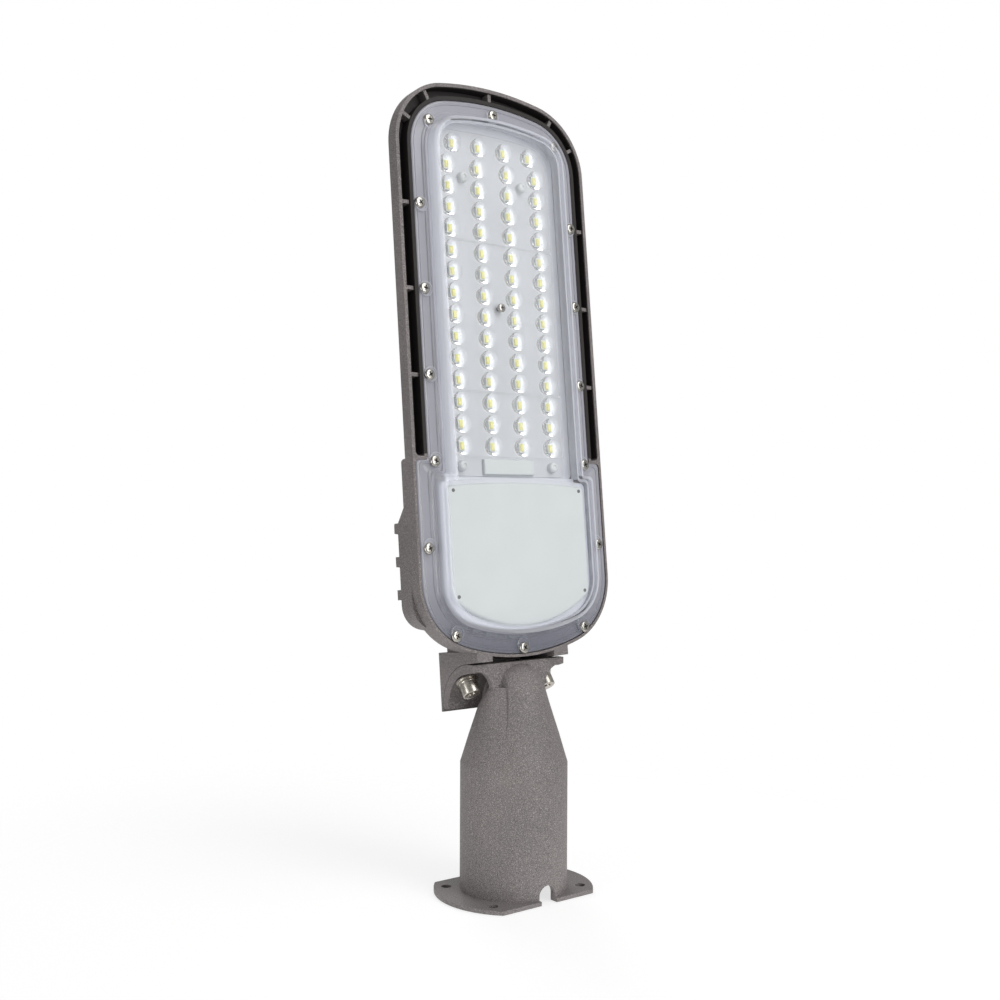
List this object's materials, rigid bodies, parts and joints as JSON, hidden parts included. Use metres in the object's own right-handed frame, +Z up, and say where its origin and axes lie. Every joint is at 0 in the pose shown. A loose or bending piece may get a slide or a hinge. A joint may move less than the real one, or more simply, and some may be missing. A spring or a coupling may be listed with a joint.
{
  "type": "led street light head",
  "caption": "Slim street light head: lamp board and driver behind a clear raised cover, cast finned housing, tilting on a cast adapter for a pole top.",
  "frame": {"origin": "on the axis of the pole socket, at the underside of the adapter's flange, where the pole enters", "axes": "+Z up along the pole, the light side faces -Y and leans back 5.87 degrees at rest, +X to the right seen from the light side"},
  "size_m": [0.156, 0.0836, 0.5287],
  "materials": {
    "powder_coat": "fine textured powder coat",
    "stainless": "bright stainless steel",
    "clear_plastic": "clear, polished",
    "lens_plastic": "clear, polished",
    "seal_rubber": "matt",
    "pad_grey": "matt",
    "board_white": "white solder mask, satin",
    "chip_yellow": "yellow phosphor in a white frame",
    "white_plastic": "moulded, satin",
    "pin_black": "moulded, satin",
    "driver_case": "moulded, satin",
    "nickel_brass": "nickel plated, bright",
    "earth_brass": "plain brass"
  },
  "bodies": {
    "adapter": {"pole_adapter": "powder_coat", "pole_set_screws": "stainless"},
    "head": {"head_housing": "powder_coat", "cover_screws": "stainless", "clamp_bolts": "stainless", "flat_washers": "stainless", "spring_washers": "stainless", "board_centre_screw": "stainless", "driver_screws": "stainless", "terminal_screws": "stainless", "clear_cover": "clear_plastic", "lens_plate_upper": "lens_plastic", "lens_plate_middle": "lens_plastic", "lens_plate_lower": "lens_plastic", "cover_gasket": "seal_rubber", "gland_seal": "seal_rubber", "thermal_pad": "pad_grey", "led_board": "board_white", "led_chips": "chip_yellow", "driver_cover": "white_plastic", "board_posts": "white_plastic", "board_connector": "white_plastic", "terminal_block": "white_plastic", "driver_cover_pins": "pin_black", "breather_vent": "pin_black", "driver": "driver_case", "gland_body": "nickel_brass", "gland_cap": "nickel_brass", "gland_nut": "nickel_brass", "earth_screw": "earth_brass"}
  },
  "joints": [
    {"name": "head_tilt", "type": "hinge", "parent": "adapter", "child": "head", "pos_m": [0, -0.0023, 0.1206], "axis": [-1, 0, 0], "range_deg": [-5.87, 9.13]}
  ]
}
